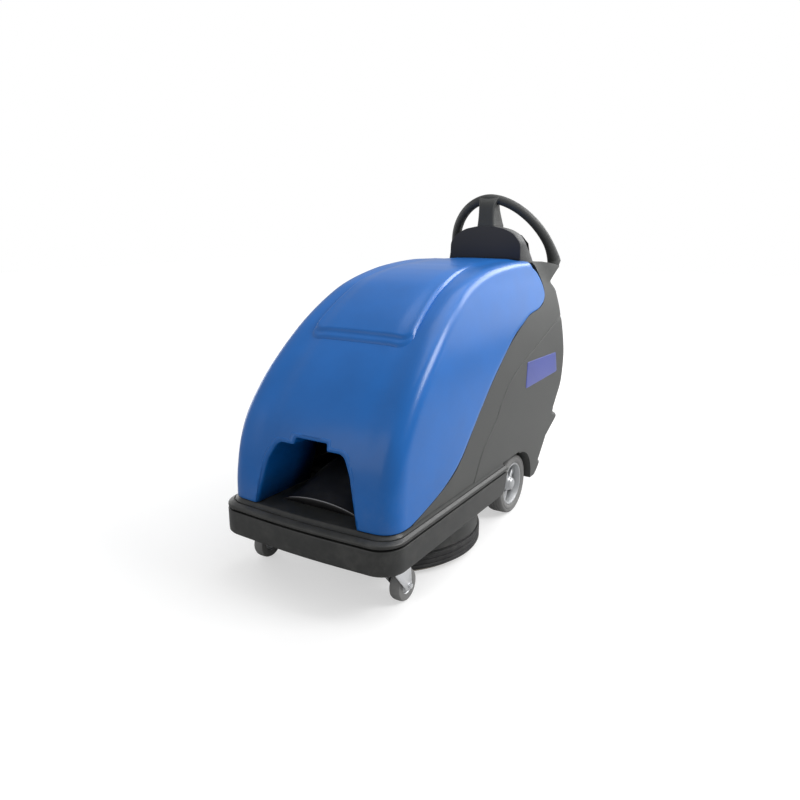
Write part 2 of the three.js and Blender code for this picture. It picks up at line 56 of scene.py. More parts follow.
camera = bpy.data.objects.new("camera", bpy.data.cameras.new("camera"))
camera.location = (1.1, nose - 1.258, 0.9635)
camera.rotation_euler = Euler((math.radians(90 - 14.46), 0, math.radians(31.93)))
camera.data.sensor_width = 36
camera.data.lens = 31.47
bpy.context.scene.collection.objects.link(camera)
bpy.context.scene.camera = camera

world = bpy.data.worlds.new("surround")
world.use_nodes = True
seen = world.node_tree.nodes["Background"]
seen.inputs["Color"].default_value = (1, 1, 1, 1)
seen.inputs["Strength"].default_value = 1.0
lighting = world.node_tree.nodes.new("ShaderNodeBackground")
lighting.inputs["Color"].default_value = (1, 1, 1, 1)
lighting.inputs["Strength"].default_value = 0.52
ray = world.node_tree.nodes.new("ShaderNodeLightPath")
either = world.node_tree.nodes.new("ShaderNodeMixShader")
world.node_tree.links.new(ray.outputs["Is Camera Ray"], either.inputs[0])
world.node_tree.links.new(lighting.outputs[0], either.inputs[1])
world.node_tree.links.new(seen.outputs[0], either.inputs[2])
world.node_tree.links.new(either.outputs[0], world.node_tree.nodes["World Output"].inputs["Surface"])
bpy.context.scene.world = world
bpy.context.scene.view_settings.view_transform = "Standard"


def soft_box(name, place, aim, size, power):
    lamp = bpy.data.objects.new(name, bpy.data.lights.new(name, "AREA"))
    lamp.data.shape = "RECTANGLE"
    lamp.data.size, lamp.data.size_y = size
    lamp.data.energy = power
    lamp.location = place
    lamp.visible_camera = False
    lamp.rotation_euler = (Vector(aim) - Vector(place)).to_track_quat("-Z", "Y").to_euler()
    bpy.context.scene.collection.objects.link(lamp)


soft_box("box_above", (0.3, 0.5, 3.2), (0, 0, 0.3), (2.4, 2.4), 34)
soft_box("box_behind_high", (1.1, 2.7, 2.3), (0, 0.2, 0.7), (2.2, 1.3), 48)
soft_box("box_behind_low", (1.9, 3.5, 1.45), (0, 0.2, 0.7), (2.2, 2.2), 18)
soft_box("box_right", (2.5, 0.7, 2.5), (0, 0, 0.5), (1.3, 1.3), 70)
soft_box("box_left", (-3.0, 0.7, 0.7), (0, 0, 0.5), (1.6, 1.2), 14)
soft_box("box_front", (-1.2, -3.2, 1.8), (0, 0, 0.4), (2.0, 2.0), 12)


# ---- Finishes: how a material is put together ----
# One output of a shader node. Arithmetic on it adds Math nodes; node() adds any other kind.
class Reading:
    def __init__(self, tree, out):
        self.tree = tree
        self.out = out

    def node(self, kind, settings=None, sockets=None, output=0):
        made = self.tree.nodes.new(kind)
        for key, value in (settings or {}).items():
            setattr(made, key, value)
        for key, value in (sockets or {}).items():
            if isinstance(value, Reading):
                self.tree.links.new(value.out, made.inputs[key])
            else:
                made.inputs[key].default_value = value
        return Reading(self.tree, made.outputs[output])

    def math(self, operation, first, second=0.0):
        return self.node("ShaderNodeMath", {"operation": operation}, {0: first, 1: second})

    def __add__(self, other):
        return self.math("ADD", self, other)

    def __mul__(self, other):
        return self.math("MULTIPLY", self, other)

    def noise(self, scale, detail=3.0, roughness=0.5):
        return self.node("ShaderNodeTexNoise", None,
                         {"Vector": self, "Scale": scale, "Detail": detail, "Roughness": roughness})

    def between(self, low, high, to_low=0.0, to_high=1.0):
        return self.node("ShaderNodeMapRange", {"interpolation_type": "SMOOTHSTEP"},
                         {"Value": self, "From Min": low, "From Max": high,
                          "To Min": to_low, "To Max": to_high})

    def tint(self, plain, other):
        """This value, 0 to 1, as a blend from one colour to another."""
        plain = plain if isinstance(plain, Reading) else (*plain, 1)
        other = other if isinstance(other, Reading) else (*other, 1)
        return self.node("ShaderNodeMix", {"data_type": "RGBA"}, {0: self, 6: plain, 7: other}, output=2)


def new_finish(name, metallic=0.0, coat=0.0, specular=0.5):
    """An empty material and the reading of its place on the object, in metres."""
    material = bpy.data.materials.new(name)
    material.use_nodes = True
    tree = material.node_tree
    shader = tree.nodes["Principled BSDF"]
    shader.inputs["Metallic"].default_value = metallic
    shader.inputs["Coat Weight"].default_value = coat
    shader.inputs["Coat Roughness"].default_value = 0.15
    shader.inputs["Specular IOR Level"].default_value = specular
    place = Reading(tree, tree.nodes.new("ShaderNodeTexCoord").outputs["Object"])
    return material, shader, place


def feed(shader, place, colour, roughness, height, depth):
    """Joins a finish's colour, roughness and surface height to its shader."""
    tree = place.tree
    tree.links.new(colour.out, shader.inputs["Base Color"])
    tree.links.new(roughness.out, shader.inputs["Roughness"])
    bump = place.node("ShaderNodeBump", None, {"Height": height, "Strength": 1.0, "Distance": depth})
    tree.links.new(bump.out, shader.inputs["Normal"])


def moulded(name, colour, dusty, roughness, grain, depth, coat=0.0, specular=0.5):
    """Moulded plastic: clouded tone, fine grain in the mould face, a few scuffs, and dust low down."""
    material, shader, place = new_finish(name, coat=coat, specular=specular)
    cloud = place.noise(7.0, 4.0)
    fine = place.noise(grain, 2.0, 0.6)
    scuff = place.noise(38.0, 6.0, 0.7).between(0.62, 0.74)
    height_off_floor = place.node("ShaderNodeSeparateXYZ", None, {0: place}, output=2)
    dust = height_off_floor.between(0.42, 0.02) * place.noise(24.0, 5.0, 0.65).between(0.4, 0.75)
    darker = tuple(channel * 0.94 for channel in colour)
    lighter = tuple(min(1.0, channel * 1.06) for channel in colour)
    tone = cloud.between(0.3, 0.7).tint(darker, lighter)
    tone = (fine.between(0.35, 0.65) * 0.25).tint(tone, darker)
    tone = (dust * 0.1).tint(tone, dusty)
    rough = cloud * 0.08 + (roughness - 0.04) + scuff * 0.1 + dust * 0.12
    feed(shader, place, tone, rough, fine + scuff * 0.2, depth)
    return material


dust_grey = (0.33, 0.32, 0.3)
floor_finish, floor_shader, floor_place = new_finish("floor_finish")
floor_cloud = floor_place.noise(3.0, 3.0)
feed(floor_shader, floor_place, floor_cloud.tint((0.44, 0.44, 0.44), (0.47, 0.47, 0.47)),
     floor_cloud * 0.1 + 0.55, floor_place.noise(60.0), 0.0001)
# The floor looks white to the camera, and more so far off, without lighting the machine from below.
floor_shader.inputs["Emission Color"].default_value = (1, 1, 1, 1)
far_off = floor_place.node("ShaderNodeVectorMath", {"operation": "LENGTH"}, {0: floor_place}, output=1)
camera_ray = floor_place.node("ShaderNodeLightPath")
glow = far_off.between(0.9, 3.2, 0.54, 0.82) * camera_ray
glow.tree.links.new(glow.out, floor_shader.inputs["Emission Strength"])
bm = bmesh.new()
bmesh.ops.create_grid(bm, x_segments=2, y_segments=2, size=12)
floor_mesh = bpy.data.meshes.new("floor")
bm.to_mesh(floor_mesh)
bm.free()
floor = bpy.data.objects.new("floor", floor_mesh)
floor_mesh.materials.append(floor_finish)
bpy.context.scene.collection.objects.link(floor)


# ---- Hood ----
# The big blue cover over the batteries: rotationally moulded polyethylene, hinged at its rear edge.
# It is lofted from its crown, down over the shoulder to the curved seam it shares with the body.
front_line = 4.7  # how far the line that y is counted from lies behind the nose
hood_wall, body_wall, thin_wall = 5, 6, 3  # thicknesses in millimetres


def machine(x, y, z):
    """A point in millimetres, y counted from the deck's front line, as a place in the frame."""
    return Vector((x / 1000, nose + (y + front_line) / 1000, z / 1000))


def through(points, count):
    """A smooth line through a few chosen points of any size, as count + 1 points."""
    points = np.array(points, float)
    padded = np.vstack([2 * points[0] - points[1], points, 2 * points[-1] - points[-2]])
    line = []
    for t in np.linspace(0, len(points) - 1, count + 1):
        i = min(int(t), len(points) - 2)
        f = t - i
        a, b, c, d = padded[i:i + 4]
        line.append(0.5 * (2 * b + (c - a) * f + (2 * a - 5 * b + 4 * c - d) * f * f
                           + (3 * b - a - 3 * c + d) * f ** 3))
    return np.array(line)


def loft(bm, rings, closed=False, caps=False):
    """Skins rings that have the same number of points; the first ring is drawn, the rest extruded."""
    verts = [bm.verts.new(p) for p in rings[0]]
    pairs = list(zip(verts, verts[1:])) + ([(verts[-1], verts[0])] if closed else [])
    edges = [bm.edges.new(pair) for pair in pairs]
    first = list(verts)
    for ring in rings[1:]:
        grown = bmesh.ops.extrude_edge_only(bm, edges=edges)["geom"]
        fresh = [v for v in grown if isinstance(v, bmesh.types.BMVert)]
        by_place = {tuple(v.co): v for v in fresh}
        verts = [by_place[tuple(v.co)] for v in verts]
        edges = [e for e in grown if isinstance(e, bmesh.types.BMEdge)
                 and e.verts[0] in by_place.values() and e.verts[1] in by_place.values()]
        for vert, place in zip(verts, ring):
            vert.co = place
    if caps:
        bm.faces.new(first)
        bm.faces.new(verts)
    return verts


def make_piece(name, bm, finish, angle=35, facing=True):
    """Turns a bmesh into a shown object, smooth except where faces meet at more than angle."""
    if facing:
        bmesh.ops.remove_doubles(bm, verts=bm.verts, dist=1e-6)
        bmesh.ops.recalc_face_normals(bm, faces=bm.faces)
    mesh = bpy.data.meshes.new(name)
    bm.to_mesh(mesh)
    bm.free()
    piece = bpy.data.objects.new(name, mesh)
    bpy.context.scene.collection.objects.link(piece)
    mesh.materials.append(finish)
    shade(piece, angle)
    return piece


def shade(piece, angle=35):
    piece.data.shade_smooth()
    piece.data.set_sharp_from_angle(angle=math.radians(angle))


def settle(piece):
    """Applies a piece's modifiers to its mesh."""
    graph = bpy.context.evaluated_depsgraph_get()
    mesh = bpy.data.meshes.new_from_object(piece.evaluated_get(graph))
    piece.modifiers.clear()
    piece.data = mesh


def carve(piece, *cutters):
    """Cuts other pieces out of this one, and removes them."""
    for cutter in cutters:
        modifier = piece.modifiers.new("carve", "BOOLEAN")
        modifier.object = cutter
        modifier.operation = "DIFFERENCE"
        modifier.solver = "EXACT"
        settle(piece)
        bpy.data.objects.remove(cutter)


def soften(piece, width, segments=2, angle=30):
    """Rounds a piece's sharp edges."""
    modifier = piece.modifiers.new("round", "BEVEL")
    modifier.width = width
    modifier.segments = segments
    modifier.limit_method = "ANGLE"
    modifier.angle_limit = math.radians(angle)
    settle(piece)
    shade(piece)


def thicken(piece, thickness):
    """Gives an open skin a wall, inward from its outside."""
    modifier = piece.modifiers.new("wall", "SOLIDIFY")
    modifier.thickness = thickness / 1000
    modifier.offset = -1
    settle(piece)


def face_up(piece):
    """Turns an open skin over if its outside looks down."""
    if sum(f.normal.z for f in piece.data.polygons) < 0:
        piece.data.flip_normals()


def slab(axis, outline, low, high, finish):
    """A straight-sided solid with an outline in millimetres, square to one axis: a cutter or a plate."""
    place = {
        "x": lambda u, v, w: machine(w, u, v),
        "y": lambda u, v, w: machine(u, w, v),
        "z": lambda u, v, w: machine(u, v, w),
    }[axis]
    bm = bmesh.new()
    loft(bm, [[place(u, v, low) for u, v in outline], [place(u, v, high) for u, v in outline]],
         closed=True, caps=True)
    return make_piece("slab", bm, finish)


def round_cutter(name, place, radius, length, segments, finish):
    """A cylinder along its place's z axis, sizes in metres."""
    bm = bmesh.new()
    bmesh.ops.create_cone(bm, cap_ends=True, segments=segments, radius1=radius, radius2=radius, depth=length,
                          matrix=place)
    return make_piece(name, bm, finish)


hood_blue = moulded("hood_blue", (0.002, 0.119, 0.435), dust_grey, 0.32, 900.0, 0.00002, coat=0.12,
                    specular=0.4)

# Height and half width of the side faces that hood and body share.
side_width = through([[62, 266], [205, 270], [300, 268.5], [400, 266], [480, 262.5], [560, 257], [620, 251],
                      [678, 243], [740, 230], [785, 216], [831, 205]], 120)


def half_width(z):
    return float(np.interp(z, side_width[:, 0], side_width[:, 1]))


# Rows from the foot up to the rear edge: crown y, crown z, shoulder y, shoulder z, shoulder rounding, seam y,
# seam z.
hood_rows = through([
    [27, 221, 36, 221, 64, 118, 221.4],
    [33, 300, 43, 300, 60, 196, 238],
    [58, 395, 67, 395, 54, 300, 268],
    [104, 475, 109, 476, 50, 390, 314],
    [190, 571, 194, 572, 46, 480, 394],
    [325, 681, 327, 680, 42, 590, 487],
    [452, 759, 454, 756, 38, 700, 562],
    [540, 793, 541, 788, 34, 780, 609],
    [650, 815, 651, 811, 30, 860, 640],
    [745, 826, 746, 822, 28, 925, 662],
    [900, 832, 878, 829, 26, 1000, 672],
    [1059.5, 830.5, 1002, 826, 22, 1049, 689],
], 120)
crown_slope = np.gradient(hood_rows[:, :2], axis=0)


def hood_section(row, slope, share):
    """Half of the hood's skin at one row, from the crown out and down to the seam."""
    crown_y, crown_z, corner_y, corner_z, rounding, seam_y, seam_z = row
    crown = Vector((0, crown_y, crown_z))
    corner = Vector((half_width(corner_z), corner_y, corner_z))
    seam = Vector((half_width(seam_z), seam_y, seam_z))
    inward = Vector((0, slope[1], -slope[0])).normalized()
    before = corner + (crown - corner).normalized() * rounding
    after = corner + (seam - corner).normalized() * min(rounding, 0.8 * (seam - corner).length)
    points = []
    for t in np.linspace(0, 1, 25)[:-1]:
        bow = t ** (2 + 6 * share ** 4)
        valley = 3.2 * min(1.0, 4 * share) * math.sin(math.pi * max(0.0, (t - 0.5) / 0.5)) ** 2
        across = Vector((before.x * t, crown.y + (before.y - crown.y) * bow,
                         crown.z + (before.z - crown.z) * t * t))
        points.append(across + inward * valley)
    for t in np.linspace(0, 1, 11)[:-1]:
        points.append(before.lerp(corner, t).lerp(corner.lerp(after, t), t))
    for t in np.linspace(0, 1, 21):
        p = after.lerp(seam, t)
        swell = 38 * share ** 9 * (1 - abs(2 * t - 1) ** 3)
        points.append(Vector((half_width(p.z) + (p.x - half_width(p.z)) * (1 - t) ** 4, p.y + swell, p.z)))
    return points


bm = bmesh.new()
hood_rings = []
for i, row in enumerate(hood_rows):
    half = hood_section(row, crown_slope[i], i / (len(hood_rows) - 1))
    right = [machine(*p) for p in half]
    left = [machine(-p.x, p.y, p.z) for p in half[1:]]
    hood_rings.append(left[::-1] + right)
loft(bm, hood_rings)
hood = make_piece("hood_shell", bm, hood_blue)
# The skin is open, so its outside is set from one face on the crown.
crown_face = max(hood.data.polygons, key=lambda f: f.center.z)
if crown_face.normal.z < 0:
    hood.data.flip_normals()
skin = BVHTree.FromObject(hood, bpy.context.evaluated_depsgraph_get())


def hood_front(x, z):
    """How far back the hood's front face lies, in millimetres from the deck's front line."""
    below_hood = 30.0
    hit = skin.ray_cast(Vector((x / 1000, nose - 1, z / 1000)), Vector((0, 1, 0)))[0]
    return (hit.y - nose) * 1000 - front_line if hit else below_hood


def hood_top(x, y):
    """How high the hood's skin lies off the floor, in millimetres."""
    above_machine = 1500
    hit = skin.ray_cast(machine(x, y, above_machine), Vector((0, 0, -1)))[0]
    return hit.z * 1000


thicken(hood, hood_wall)
soften(hood, 0.0016, 2, 60)


def rounded(corners, steps=6):
    """An outline with round corners. Each corner is u, v, radius."""
    outline = []
    for i, (u, v, radius) in enumerate(corners):
        corner = Vector((u, v))
        before = (Vector(corners[i - 1][:2]) - corner).normalized()
        after = (Vector(corners[(i + 1) % len(corners)][:2]) - corner).normalized()
        if radius == 0:
            outline.append((u, v))
            continue
        half = before.angle(after) / 2
        reach = radius / math.tan(half)
        start = corner + before * reach
        end = corner + after * reach
        centre = corner + (before + after).normalized() * radius / math.sin(half)
        sweep = (start - centre).angle_signed(end - centre)
        for k in range(steps + 1):
            turn = Matrix.Rotation(-sweep * k / steps, 2)
            outline.append(tuple(centre + turn @ (start - centre)))
    return outline


def mirrored(half):
    """A symmetric outline from its right half."""
    return list(half) + [(-u, *rest) for u, *rest in reversed(half)]


arch_top, notch_top = 395, 413


def recess_outline(grow):
    """The arch in the hood's front with the finger notch over it, from right foot to left foot."""
    half = [
        (162 + grow, 214, 0), (134 + grow, 345 + grow * 0.5, 90), (106 + grow, arch_top + grow, 30),
        (54 + grow, arch_top + grow, 5), (50 + grow, notch_top + grow, 6),
    ]
    return rounded(mirrored(half), 6)


# The opening is cut wider than the recess by just under the radius of the lip that fills the gap.
lip_radius = 10
carve(hood, slab("y", recess_outline(lip_radius - 1), 0, 150, hood_blue))

# The recess has walls of its own that turn in from a rolled lip and run back to the motor.
bm = bmesh.new()
lip_rings = []
lip_roll = [(lip_radius * (1 - math.sin(a)), lip_radius * (1 - math.cos(a)) - 0.3)
            for a in np.linspace(0, math.pi / 2, 7)]
for grow, back in [(13.5, -0.3)] + lip_roll + [(0.0, 20.0), (-1.0, 60.0), (-3.0, 130.0), (-5.0, 215.0)]:
    outline = recess_outline(grow)
    if back > 20:
        outline = [(u, min(v, arch_top + (v - arch_top) * 0.3)) for u, v in outline]
    lip_rings.append([machine(u, hood_front(u, max(v, 224)) + back, max(v, 221.5)) for u, v in outline])
loft(bm, lip_rings)
recess_wall = make_piece("hood_recess_wall", bm, hood_blue, 60)

# The raised panel on the hood's top, with a double step along its front edge, fading out towards the rear.
panel_front, panel_rear = 272, 740
step_run, step_gap = 7, 17


def panel_half(y):
    return float(np.interp(y, [280, 450, 510, 700, 740], [169, 151, 147, 118, 112]))


def panel_lift(x, y):
    """Height of the panel over the hood's skin: a wide side slope, and two steps along the front edge."""
    from_side = 0.75 * (panel_half(y) - abs(x))
    full = float(np.interp(y, [panel_front, 400, 620, panel_rear], [14, 13, 8, 0.2]))

    def rise(distance_side, distance_front, corner):
        cut = Vector((max(0.0, corner - distance_side), max(0.0, corner - distance_front))).length
        inside = min(distance_side, distance_front, corner - cut)
        return min(1.0, max(0.0, inside / step_run))

    first = rise(from_side, y - panel_front, 34)
    second = rise(from_side, y - panel_front - step_gap, 30)
    stepped = full * (0.45 * math.sin(first * math.pi / 2) + 0.55 * math.sin(second * math.pi / 2))
    sunk_edge = 1.0 if first == 0 else 0.0
    return stepped - sunk_edge


bm = bmesh.new()
fine = [0, 1, 2.2, 3.6, 5.2, 7, 9, 12, 16]
ys = ([panel_front + d for d in fine] + [panel_front + step_gap + d for d in fine[1:]]
      + list(np.linspace(panel_front + step_gap + 20, panel_rear, 60)))
panel_rings = []
for y in ys:
    half = panel_half(y)
    across = [half - d for d in fine] + list(np.linspace(half - 19, 0, 26))
    across = across + [-x for x in reversed(across[:-1])]
    panel_rings.append([machine(x, y, hood_top(x, y) + panel_lift(x, y)) for x in across])
loft(bm, panel_rings)
raised_panel = make_piece("hood_raised_panel", bm, hood_blue, 70, facing=False)
face_up(raised_panel)
for part in (recess_wall, raised_panel):
    thicken(part, thin_wall)
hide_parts("hood")
for part in (hood, recess_wall, raised_panel):
    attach(part, "hood")

# ---- Body ----
# The grey lower moulding: low side wings under the hood's seam, the tall rear over the batteries and drive,
# and the shelf with two horns that carries console and handle. Rotationally moulded.
body_grey = moulded("body_grey", (0.058, 0.060, 0.058), dust_grey, 0.52, 1300.0, 0.00006)
rear_line = np.array(
    [[90, 1024], [100, 1040], [118, 1060], [122, 1060], [131, 1044], [210, 1110], [256, 1207], [260, 1209],
     [267, 1204], [277, 1176]]
    + [list(p) for p in through([[277, 1176], [330, 1224], [380, 1268], [452, 1291], [508, 1296], [604, 1281],
                                 [679, 1262], [718, 1243], [748, 1194]], 40)[1:]]
    + [[753, 1192], [775, 1221], [792, 1247], [799, 1257], [806, 1259], [832, 1250]])
crease_line = through([[211, 470], [301, 535], [371, 625], [420, 670], [478, 745], [520, 858], [576, 1043],
                       [616, 1179], [640, 1290]], 60)
seam_line = through([[60, 221], [118, 221.4], [196, 238], [329, 277], [407, 326], [516, 430], [661, 537],
                     [740, 586], [860, 640], [925, 662], [1000, 672], [1049, 689], [1070, 716], [1069, 745],
                     [1055, 782], [1036, 808], [1006, 828]], 120)


def rear_of(z):
    return float(np.interp(z, rear_line[:, 0], rear_line[:, 1]))


def crease_at(z):
    return float(np.interp(z, crease_line[:, 0], crease_line[:, 1]))


# Columns of points before and after the crease's middle.
crease_columns = [-9, -5, -3.2, -2.2, -1.5, -1, -0.5, 0, 0.5, 1, 1.5, 2.2, 3.2, 5, 9]


def body_width(y, z):
    """Half width of the body's side, with a shallow grooved crease that climbs to the rear."""
    horn = float(np.interp(z, [740, 756, 800, 832], [230, 228, 231, 230]))
    toward_horn = min(1.0, max(0.0, (y - 1060) / 90)) if z > 740 else 0.0
    width = half_width(z) + (horn - half_width(z)) * toward_horn ** 2 * (3 - 2 * toward_horn)
    step = min(1.0, max(0.0, (y - crease_at(z)) / 13 + 0.5))
    fade = min(1.0, max(0.0, (690 - z) / 90))
    groove = 3.4 * math.exp(-(((y - crease_at(z)) / 1.9) ** 2))
    return width + fade * (step * step * (3 - 2 * step) - groove)


def body_ring(z, inset):
    rear = rear_of(z) - inset
    radius = float(np.interp(z, [60, 262, 300, 700, 750, 800, 832], [60, 60, 82, 82, 60, 46, 46])) - inset
    crease = min(crease_at(z), rear - radius - 20)
    lengths = (list(np.linspace(60, crease - 16, 30)) + [crease + d for d in crease_columns]
               + list(np.linspace(crease + 16, rear - radius, 34)))
    half = [(body_width(y, z) - inset, y) for y in lengths]
    width = body_width(rear - radius, z) - inset
    for k in range(1, 13):
        turn = math.pi / 2 * k / 12
        half.append((width - radius + radius * math.cos(turn), rear - radius + radius * math.sin(turn)))
    for t in np.linspace(1, 0, 8)[1:]:
        half.append(((width - radius) * t, rear))
    points = half + [(-x, y) for x, y in reversed(half[:-1])]
    return [machine(x, y, z) for x, y in points]


def body_form(name, inset, levels):
    bm = bmesh.new()
    loft(bm, [body_ring(z, inset) for z in levels], closed=True, caps=True)
    return make_piece(name, bm, body_grey)


body_levels = ([90, 95, 100, 109, 118, 122, 131, 145, 165, 190, 210, 222, 235, 248, 256, 260, 264, 267, 272,
                277]
               + list(np.linspace(285, 740, 58))
               + [744, 748, 753, 758, 766, 776, 786, 793, 799, 806, 812, 817, 822, 832])
body = body_form("body_shell", 0, body_levels)
inner_levels = [50] + [z for z in body_levels[1:] if z < 790] + [791]
along = np.gradient(seam_line, axis=0)
along /= np.linalg.norm(along, axis=1)[:, None]
seam_gap = 2.0
above_seam = [(y + seam_gap * up, z - seam_gap * back) for (y, z), (back, up) in zip(seam_line, along)]
above_seam += [(994, 829), (992, 900), (-50, 900), (-50, 218), (60, 218)]
# The hood's rear edge in plan: straight behind the console, swept forward at both shoulders.
hood_rear_edge = [(p.x * 1000, (p.y - nose) * 1000 - 3.2) for p in hood_rings[-1] if p.z > 0.806]
under_hood = [(-260, 800), *hood_rear_edge, (260, 800)]
wheel_low, wheel_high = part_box("drive_tyre_right")
wheel_centre = (wheel_low + wheel_high) / 2
well_radius, well_side = 0.113, 0.173
lining_radius, lining_side = 0.119, 0.168
past_side = 0.4


def wheel_well(radius, low, high):
    """A round cutter about the drive wheels' axis, from one distance off the middle to another."""
    place = Matrix.Translation(((low + high) / 2, wheel_centre.y, wheel_centre.z))
    return round_cutter("well_cutter", place @ Matrix.Rotation(math.pi / 2, 4, "Y"), radius, high - low, 72,
                        body_grey)


body_inside = body_form("body_inside", body_wall, inner_levels)
carve(body_inside, wheel_well(lining_radius, lining_side, past_side),
      wheel_well(lining_radius, -past_side, -lining_side))
carve(
    body,
    body_inside,
    slab("x", above_seam, -320, 320, body_grey),
    slab("x", [(900, 823), (1090, 823), (1240, 801), (1290, 798), (1290, 950), (900, 950)], -320, 320,
         body_grey),
    slab("z", under_hood, 806, 950, body_grey),
    slab("x", [(0, 0), (816, 0), (816, 219.4), (0, 219.4)], -320, 320, body_grey),
    slab("x", [(0, 200), (130, 200), (130, 400), (0, 400)], -320, 320, body_grey),
    wheel_well(well_radius, well_side, past_side),
    wheel_well(well_radius, -past_side, -well_side),
    slab("z", [(-255, 40), (255, 40), (255, 210), (-255, 210)], 100, 900, body_grey),
)
shade(body, 28)
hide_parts("rear_body")
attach(body, "chassis")

# ---- Deck ----
# The dark front tray that the head hangs from: one moulding with a grooved bumper edge round its front and
# sides.
deck_grey = moulded("deck_grey", (0.023, 0.024, 0.023), dust_grey, 0.42, 1300.0, 0.00006)

# Ahead of each wheel the deck stops short, its end leaning forward towards the floor: height, length back.
deck_end = np.array([[110, 640], [122, 658], [132, 670], [150, 679], [170, 685], [190, 692], [207, 700],
                     [240, 703]])


def deck_ring(inset_front, inset_side, corner, z):
    """The deck's outline at one height. Its front bows forward between the two corners."""
    bow, bow_radius = 15, 2300
    half = 285 - inset_side
    front = -8 + inset_front
    rear = float(np.interp(z, deck_end[:, 0], deck_end[:, 1])) - inset_side
    corners = [(-half, rear, 4), (-half, front + bow, corner), (0, front, bow_radius),
               (half, front + bow, corner), (half, rear, 4)]
    return [machine(x, y, z) for x, y in rounded(corners, 10)]


bm = bmesh.new()
# From the inner wall round under the bumper and up to the top: inset in front, inset at the sides, corner
# radius, height.
deck_profile = [
    (22, 8, 66, 184), (14, 7, 66, 125), (9, 5, 66, 122), (3.5, 2, 66, 122.6), (0.8, 0.5, 67, 126),
    (0, 0, 68, 134), (0, 0, 68, 146), (0, 0, 68, 165), (0, 0, 68, 186), (0.4, 0.4, 68, 188.4),
    (1.6, 1.6, 66, 189.8), (10, 10, 62, 190.2), (11, 11, 60, 191.4), (11, 11, 60, 194.4), (10, 10, 62, 195.4),
    (1.8, 1.8, 66, 195.8), (0.5, 0.5, 67, 197.2), (0.5, 0.5, 67, 201.5), (2.0, 1.4, 66, 204),
    (5, 3.4, 64, 205.4), (18, 9, 62, 209.5), (18.6, 9.4, 62, 207), (21, 11, 61, 207.2), (21.6, 11.4, 61, 211),
    (26, 12.6, 60, 212.5), (30, 14, 60, 216), (32, 15, 60, 218.4), (35, 18, 58, 219), (60, 40, 50, 219),
]
rings = [deck_ring(front, side, corner, z) for front, side, corner, z in deck_profile]
loft(bm, rings, closed=True, caps=True)
deck = make_piece("deck_tray", bm, deck_grey, 50)
head_low, head_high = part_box("head_skirt")
head_centre = (head_low + head_high) / 2
cavity_radius, cavity_middle, cavity_depth = 0.281, 0.135, 0.106
motor_radius, motor_middle, motor_depth = 0.09, 0.2, 0.2


def over_head(z):
    return Matrix.Translation((head_centre.x, head_centre.y, z))


carve(
    deck,
    round_cutter("cavity_cutter", over_head(cavity_middle), cavity_radius, cavity_depth, 96, deck_grey),
    round_cutter("motor_cutter", over_head(motor_middle), motor_radius, motor_depth, 48, deck_grey),
    slab("z", [(-172, 34), (172, 34), (172, 250), (-172, 250)], 100, 207, deck_grey),
)
shade(deck, 40)
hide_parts("deck")
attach(deck, "chassis")


# ---- Console, column and hoop ----
# The instrument housing is a grained grey shell closed in front by a near-black face. A charcoal column stands
# on it and carries the middle of the hoop, one bent tube whose thick feet grow out of the body's two horns.
console_black = moulded("console_black", (0.006, 0.007, 0.015), dust_grey, 0.45, 1100.0, 0.00004)
grained_grey = moulded("grained_grey", (0.055, 0.057, 0.058), dust_grey, 0.42, 520.0, 0.0009)
charcoal = moulded("charcoal", (0.035, 0.037, 0.036), dust_grey, 0.55, 380.0, 0.0004)
dome_half, dome_foot = 138, 822
dome = [(136, 884, 34), (112, 914, 60), (76, 932, 90), (30, 941, 90)]


def dome_outline(grow, base, shrink=1.0, lean=0.0):
    """The housing's arched outline, from height base up: shrink lowers the arch, lean draws its sides in."""
    arch = [((u + grow) * (1 - lean), dome_foot + (v + grow - dome_foot) * shrink, r) for u, v, r in dome]
    return rounded(mirrored([(dome_half + grow, base, 0)] + arch), 10)


def dome_loft(name, rings, finish):
    bm = bmesh.new()
    loft(bm, [[machine(u, y, v) for u, v in dome_outline(grow, base, *shape)]
              for y, grow, base, *shape in rings], closed=True, caps=True)
    return make_piece(name, bm, finish, 40)


rear_slope = [(1212.5, 790), (1212.5, 822), (1172, 950), (1172, 990), (1320, 990), (1320, 790)]
inside = dome_loft("console_inside", [(1086, -6, 780, 1, 0), (1150, -6, 780, 0.985, 0.1),
                                      (1240, -9, 780, 0.9, 0.26)],
                   grained_grey)
carve(inside, slab("x", [(y - 6, z) for y, z in rear_slope], -200, 200, grained_grey))
housing = dome_loft("console_shell", [(1081, -2, 799, 1), (1082.2, -0.6, 799, 1), (1085, 0, 799, 1),
                                      (1120, 0, 799, 0.995, 0.04), (1150, 0, 799, 0.985, 0.09),
                                      (1190, 0, 799, 0.95, 0.18), (1240, -3, 799, 0.9, 0.26)],
                    grained_grey)
carve(housing, slab("x", rear_slope, -200, 200, grained_grey), inside)
soften(housing, 0.006, 4, 45)
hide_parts("console_housing")

cover = dome_loft("console_face", [(1080.4, -1, 822.5, 1), (1078, 0, 822.5, 1), (1075.2, 0, 822.5, 1),
                                   (1074, -1.2, 823, 1), (1073.5, -3.2, 825, 1)], console_black)
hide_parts("console_cover")

